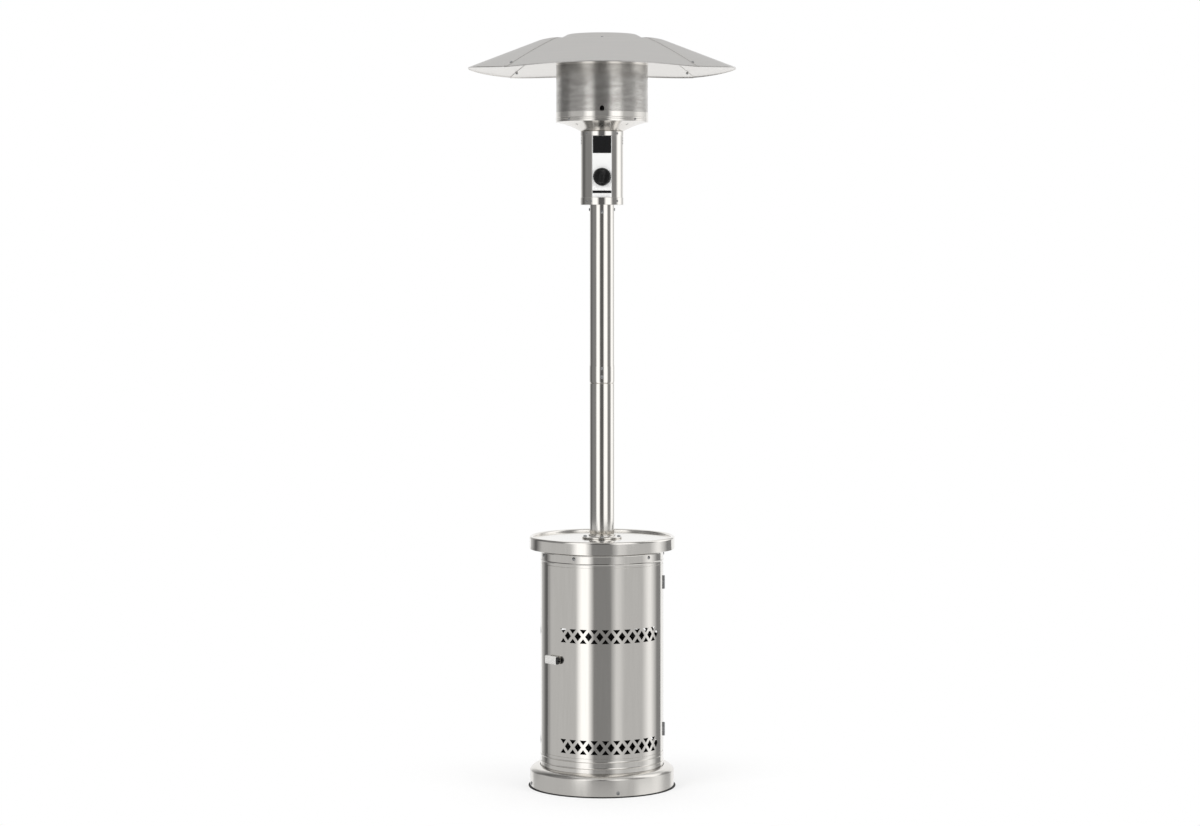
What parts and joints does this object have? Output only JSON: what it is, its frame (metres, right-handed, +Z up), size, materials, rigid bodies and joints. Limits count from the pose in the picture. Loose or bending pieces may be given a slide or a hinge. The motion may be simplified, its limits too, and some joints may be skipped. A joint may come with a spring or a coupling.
{
  "type": "patio heater",
  "caption": "Free-standing gas patio heater: round base, tank housing with hinged door, table, pole, control head, emitter screen and wide domed reflector.",
  "frame": {"origin": "centre of the base on the ground, on the pole's axis", "axes": "+Z up along the pole, -Y towards the side with the control panel, +X to the right of somebody who faces the panel"},
  "size_m": [0.8204, 0.8204, 2.2987],
  "materials": {
    "polished_stainless": "satin polished stainless sheet",
    "reflector_sheet": "satin rolled aluminium sheet",
    "emitter_mesh": "perforated stainless, warm grey from heat",
    "zinc_steel": "zinc plated steel",
    "coated_steel": "dark powder coat",
    "brass": "machined brass",
    "black_plastic": "black moulded plastic",
    "black_rubber": "black rubber",
    "ceramic": "glazed ceramic with a steel tip"
  },
  "bodies": {
    "heater": {"edge_trim": "black_rubber", "base_plate": "coated_steel", "ballast_ring": "coated_steel", "base_cover": "polished_stainless", "cover_screws": "zinc_steel", "support_posts": "zinc_steel", "post_bolts": "zinc_steel", "lower_band": "polished_stainless", "back_shell": "polished_stainless", "upper_band": "polished_stainless", "band_screws": "zinc_steel", "body_hinge_leaves": "zinc_steel", "hinge_pins": "zinc_steel", "support_plate": "zinc_steel", "table_top": "polished_stainless", "pole_flange": "polished_stainless", "flange_bolts": "zinc_steel", "lower_pole": "polished_stainless", "upper_pole": "polished_stainless", "pole_screws": "zinc_steel", "head_base": "zinc_steel", "lower_collar": "polished_stainless", "head_housing": "polished_stainless", "upper_collar": "polished_stainless", "collar_screws": "zinc_steel", "control_panel": "polished_stainless", "bare_badge": "black_plastic", "panel_stripe": "black_plastic", "gas_valve": "brass", "valve_bracket": "zinc_steel", "tilt_switch": "black_plastic", "gas_jet": "brass", "burner": "zinc_steel", "pilot_burner": "zinc_steel", "thermocouple": "brass", "ignition_electrode": "ceramic", "bowl": "polished_stainless", "burner_band": "polished_stainless", "emitter_screws": "zinc_steel", "emitter_screen": "emitter_mesh", "emitter_top": "emitter_mesh", "reflector_studs": "zinc_steel", "hub_plate": "zinc_steel", "front_panel": "reflector_sheet", "right_panel": "reflector_sheet", "back_panel": "reflector_sheet", "left_panel": "reflector_sheet", "reflector_screws": "zinc_steel", "cap": "reflector_sheet", "gas_hose": "black_rubber", "regulator": "zinc_steel"},
    "door": {"door_panel": "polished_stainless", "door_hinge_leaves": "zinc_steel"},
    "latch": {"latch_handle": "polished_stainless", "latch_end": "black_plastic", "latch_cam": "zinc_steel"},
    "valve_plug": {"valve_plug": "brass"},
    "knob": {"control_knob": "black_plastic", "valve_spindle": "zinc_steel"},
    "tank_nut": {"tank_nut": "black_plastic"}
  },
  "joints": [
    {"name": "door_swing", "type": "hinge", "parent": "heater", "child": "door", "pos_m": [0.18894, -0.02186, 0.4], "axis": [0, 0, 1], "range_deg": [0, 115]},
    {"name": "latch_turn", "type": "hinge", "parent": "door", "child": "latch", "pos_m": [-0.14524, -0.12405, 0.4], "axis": [-0.7604, -0.6494, 0], "range_deg": [0, 90]},
    {"name": "knob_turn", "type": "hinge", "parent": "heater", "child": "valve_plug", "pos_m": [0, -0.03, 1.8617], "axis": [0, -1, 0], "range_deg": [0, 180]},
    {"name": "knob_push", "type": "slide", "parent": "valve_plug", "child": "knob", "axis": [0, 1, 0], "range_m": [0, 0.004], "stiffness_N_per_m": 800},
    {"name": "nut_turn", "type": "hinge", "parent": "heater", "child": "tank_nut", "pos_m": [0, 0.01, 0.557], "axis": [0, 1, 0], "continuous": true}
  ]
}
